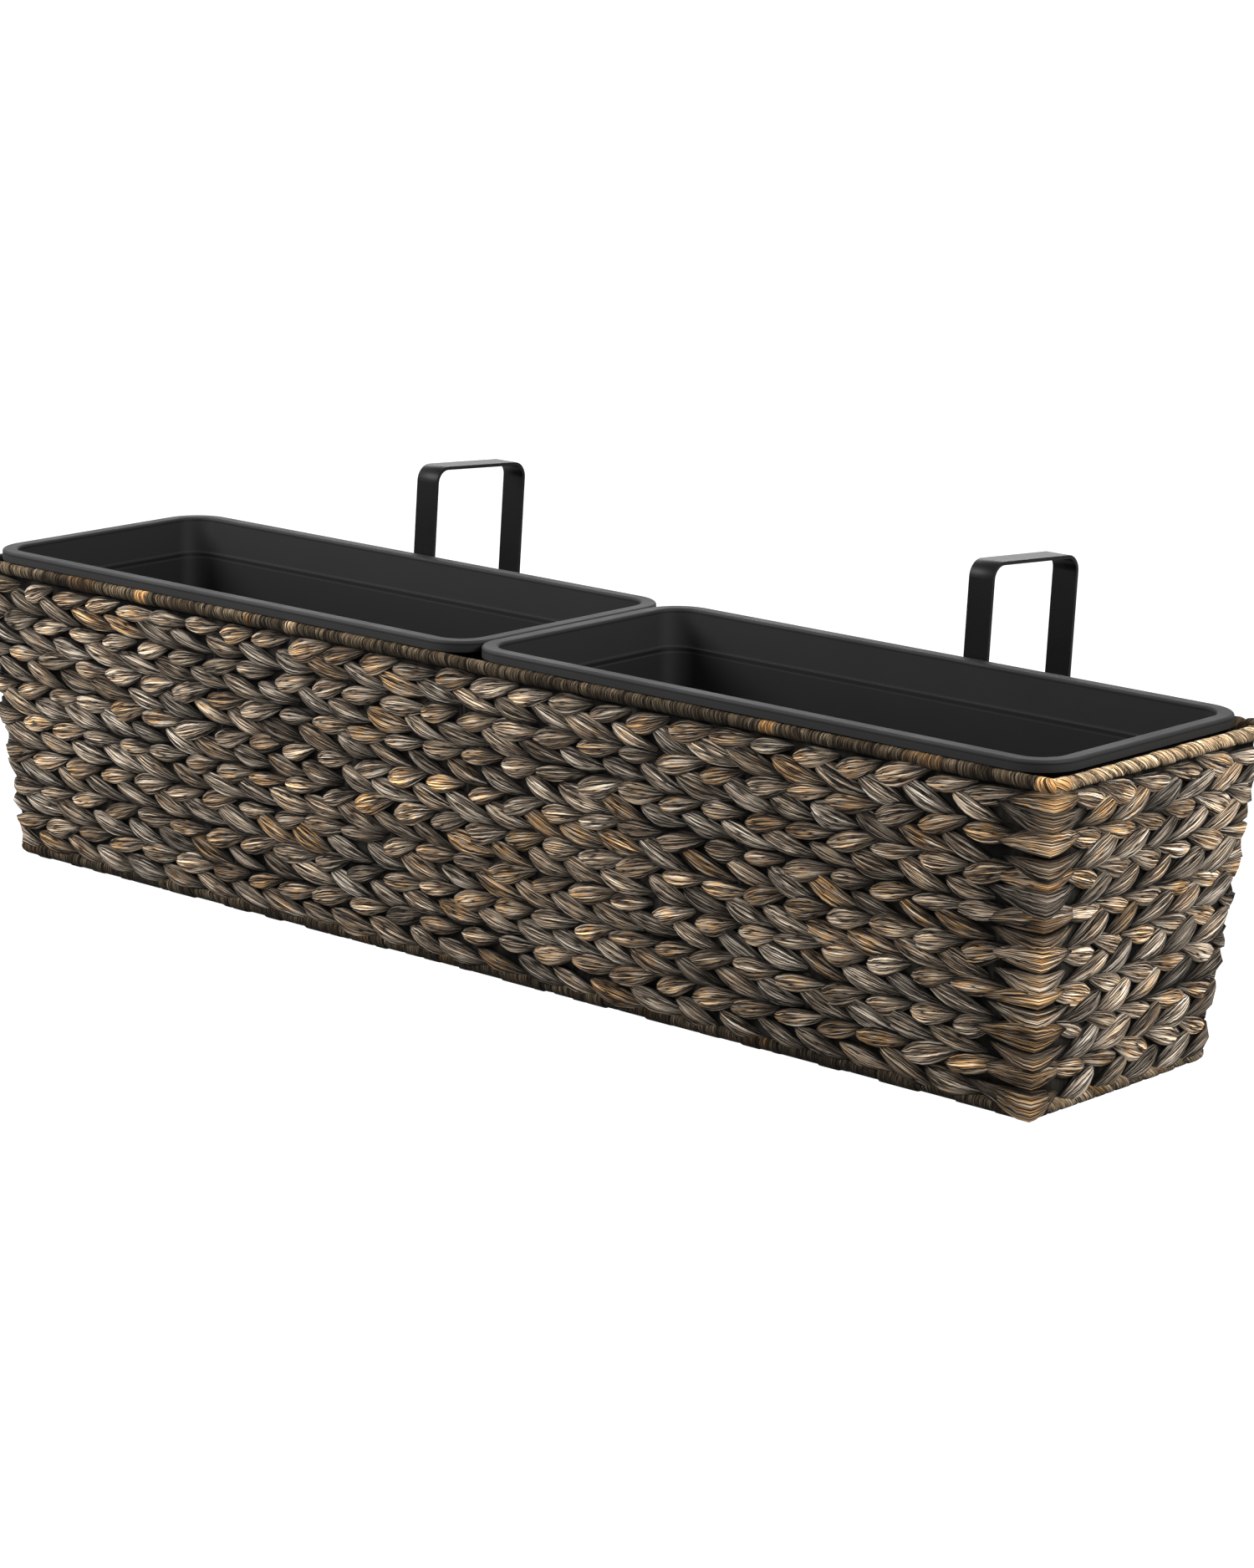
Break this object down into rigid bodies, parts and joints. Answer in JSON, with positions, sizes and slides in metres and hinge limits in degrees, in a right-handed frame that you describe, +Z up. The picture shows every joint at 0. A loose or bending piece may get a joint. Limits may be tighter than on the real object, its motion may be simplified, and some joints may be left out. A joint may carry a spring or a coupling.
{
  "type": "railing planter",
  "caption": "Long tapered planter of plaited fibre on a wire frame, with removable black plastic inserts and flat steel hooks that hang it on a balcony railing.",
  "frame": {"origin": "on the floor under the middle of the whole planter, hooks included", "axes": "+Z up, +X along the long side, the front faces -Y and the hooks are at +Y"},
  "size_m": [0.8, 0.254, 0.2343],
  "materials": {
    "plait": "dyed plaited fibre, matt",
    "binding": "wound fibre, matt",
    "wire": "black coated steel",
    "insert": "satin moulded",
    "hook": "black powder coat",
    "bolt": "black oxide"
  },
  "bodies": {
    "basket": {"rim_wire": "wire", "base_wire": "wire", "corner_post_front_left": "wire", "corner_post_front_right": "wire", "corner_post_back_left": "wire", "corner_post_back_right": "wire", "front_post_1": "wire", "front_post_2": "wire", "front_post_3": "wire", "back_post_1": "wire", "back_post_2": "wire", "back_post_3": "wire", "base_cross_wire_1": "wire", "base_cross_wire_2": "wire", "base_cross_wire_3": "wire", "base_cross_wire_4": "wire", "base_cross_wire_5": "wire", "plait_course_1": "plait", "plait_course_2": "plait", "plait_course_3": "plait", "plait_course_4": "plait", "plait_course_5": "plait", "plait_course_6": "plait", "plait_course_7": "plait", "plait_course_8": "plait", "floor_plait_1": "plait", "floor_plait_2": "plait", "floor_plait_3": "plait", "floor_plait_4": "plait", "floor_plait_5": "plait", "floor_plait_6": "plait", "rim_binding": "binding", "base_binding": "binding", "hook_left": "hook", "hook_right": "hook", "clamp_strip_left": "hook", "clamp_strip_right": "hook", "hook_bolts": "bolt"},
    "insert_left": {"insert_left": "insert"},
    "insert_right": {"insert_right": "insert"}
  },
  "joints": [
    {"name": "insert_left_lift", "type": "slide", "parent": "basket", "child": "insert_left", "axis": [0, 0, 1], "range_m": [0, 0.16]},
    {"name": "insert_right_lift", "type": "slide", "parent": "basket", "child": "insert_right", "axis": [0, 0, 1], "range_m": [0, 0.16]}
  ]
}
